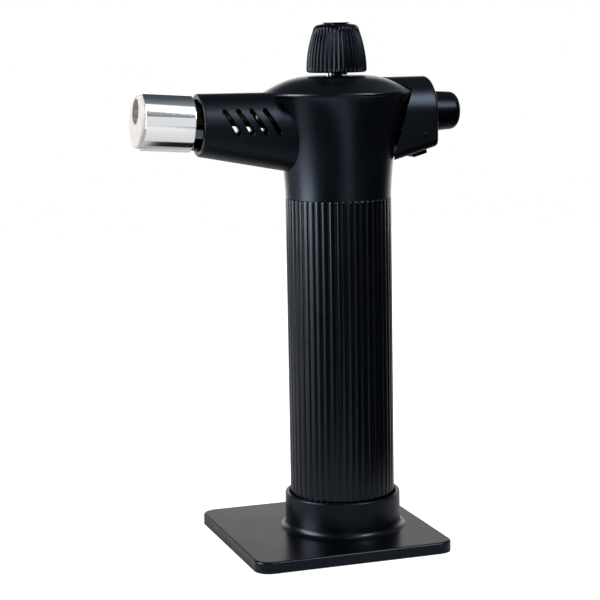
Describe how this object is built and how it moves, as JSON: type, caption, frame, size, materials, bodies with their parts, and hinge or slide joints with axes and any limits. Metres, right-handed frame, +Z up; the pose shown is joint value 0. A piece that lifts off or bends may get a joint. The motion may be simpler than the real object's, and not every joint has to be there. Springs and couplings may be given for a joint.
{
  "type": "butane torch",
  "caption": "Hand-held butane torch with ribbed grip, slotted burner shroud, ceramic tip, trigger button and flame knob, standing in a square base.",
  "frame": {"origin": "on the stand's flat underside, below the grip's axis", "axes": "+Z up along the grip, burner towards -X, trigger button towards +X, +Y to the torch's right side"},
  "size_m": [0.1297, 0.08, 0.2016],
  "materials": {
    "stand_plastic": "satin black moulded plastic, fine texture",
    "grip_plastic": "satin black, vertical grooves",
    "head_plastic": "satin black moulded plastic",
    "shroud_plastic": "satin black moulded plastic",
    "control_plastic": "satin black moulded plastic",
    "tank_plastic": "dark moulded nylon",
    "polished_steel": "polished steel",
    "ceramic": "white unglazed ceramic",
    "brass": "machined brass",
    "steel": "zinc-plated steel",
    "piezo_plastic": "black moulded nylon",
    "seal_rubber": "black nitrile",
    "wire_cover": "red silicone cover"
  },
  "bodies": {
    "stand": {"stand_base": "stand_plastic"},
    "torch": {"grip_sleeve": "grip_plastic", "fuel_tank": "tank_plastic", "tank_bottom_cap": "tank_plastic", "fill_valve_body": "brass", "fill_valve_seal": "seal_rubber", "fill_valve_spring": "steel", "outlet_valve_body": "brass", "outlet_seal_ring": "seal_rubber", "outlet_valve_spring": "steel", "lever_bracket": "steel", "lever_pin": "steel", "head_left_shell": "head_plastic", "head_right_shell": "head_plastic", "head_screws": "steel", "burner_shroud": "shroud_plastic", "nozzle_sleeve": "polished_steel", "ceramic_tip": "ceramic", "flame_holder": "steel", "burner_tube": "brass", "sleeve_clip": "steel", "gas_pipe": "brass", "gas_jet": "brass", "electrode_insulator": "ceramic", "electrode": "steel", "ignition_wire": "wire_cover", "flow_block": "brass", "gland_nut": "brass", "knob_stop_pin": "steel", "rear_housing": "shroud_plastic", "piezo_body": "piezo_plastic", "trigger_spring": "steel"},
    "knob": {"flame_knob": "control_plastic", "knob_cap": "control_plastic", "knob_screw": "steel", "needle_spindle": "steel"},
    "trigger": {"trigger_button": "control_plastic", "piezo_plunger": "piezo_plastic"},
    "lever": {"gas_lever": "steel"},
    "outlet_stem": {"outlet_valve_stem": "brass"},
    "lock": {"lock_slider": "control_plastic"},
    "fill_stem": {"fill_valve_stem": "brass"}
  },
  "joints": [
    {"name": "torch_lift", "type": "slide", "parent": "stand", "child": "torch", "axis": [0, 0, 1], "range_m": [0, 0.02]},
    {"name": "knob_turn", "type": "hinge", "parent": "torch", "child": "knob", "pos_m": [0, 0, 0.1815], "axis": [0, 0, 1], "range_deg": [-105, 195]},
    {"name": "trigger_press", "type": "slide", "parent": "torch", "child": "trigger", "axis": [-1, 0, 0], "range_m": [0, 0.0045], "stiffness_N_per_m": 800, "springref_m": -0.004, "deforming": ["trigger_spring"]},
    {"name": "lever_pivot", "type": "hinge", "parent": "torch", "child": "lever", "pos_m": [0.0052, 0, 0.146], "axis": [0, -1, 0], "range_deg": [0, 21]},
    {"name": "outlet_stem_press", "type": "slide", "parent": "torch", "child": "outlet_stem", "axis": [0, 0, -1], "range_m": [0, 0.0019], "deforming": ["outlet_valve_spring"]},
    {"name": "lock_slide", "type": "slide", "parent": "torch", "child": "lock", "axis": [0, 1, 0], "range_m": [0, 0.004]},
    {"name": "fill_stem_push", "type": "slide", "parent": "torch", "child": "fill_stem", "axis": [0, 0, 1], "range_m": [0, 0.0015], "stiffness_N_per_m": 300, "springref_m": -0.003, "deforming": ["fill_valve_spring"]}
  ],
  "couplings": [
    {"joint": "lever_pivot", "follows": "trigger_press", "rad_per_m": 79.365},
    {"joint": "outlet_stem_press", "follows": "trigger_press", "ratio": 0.4127}
  ]
}
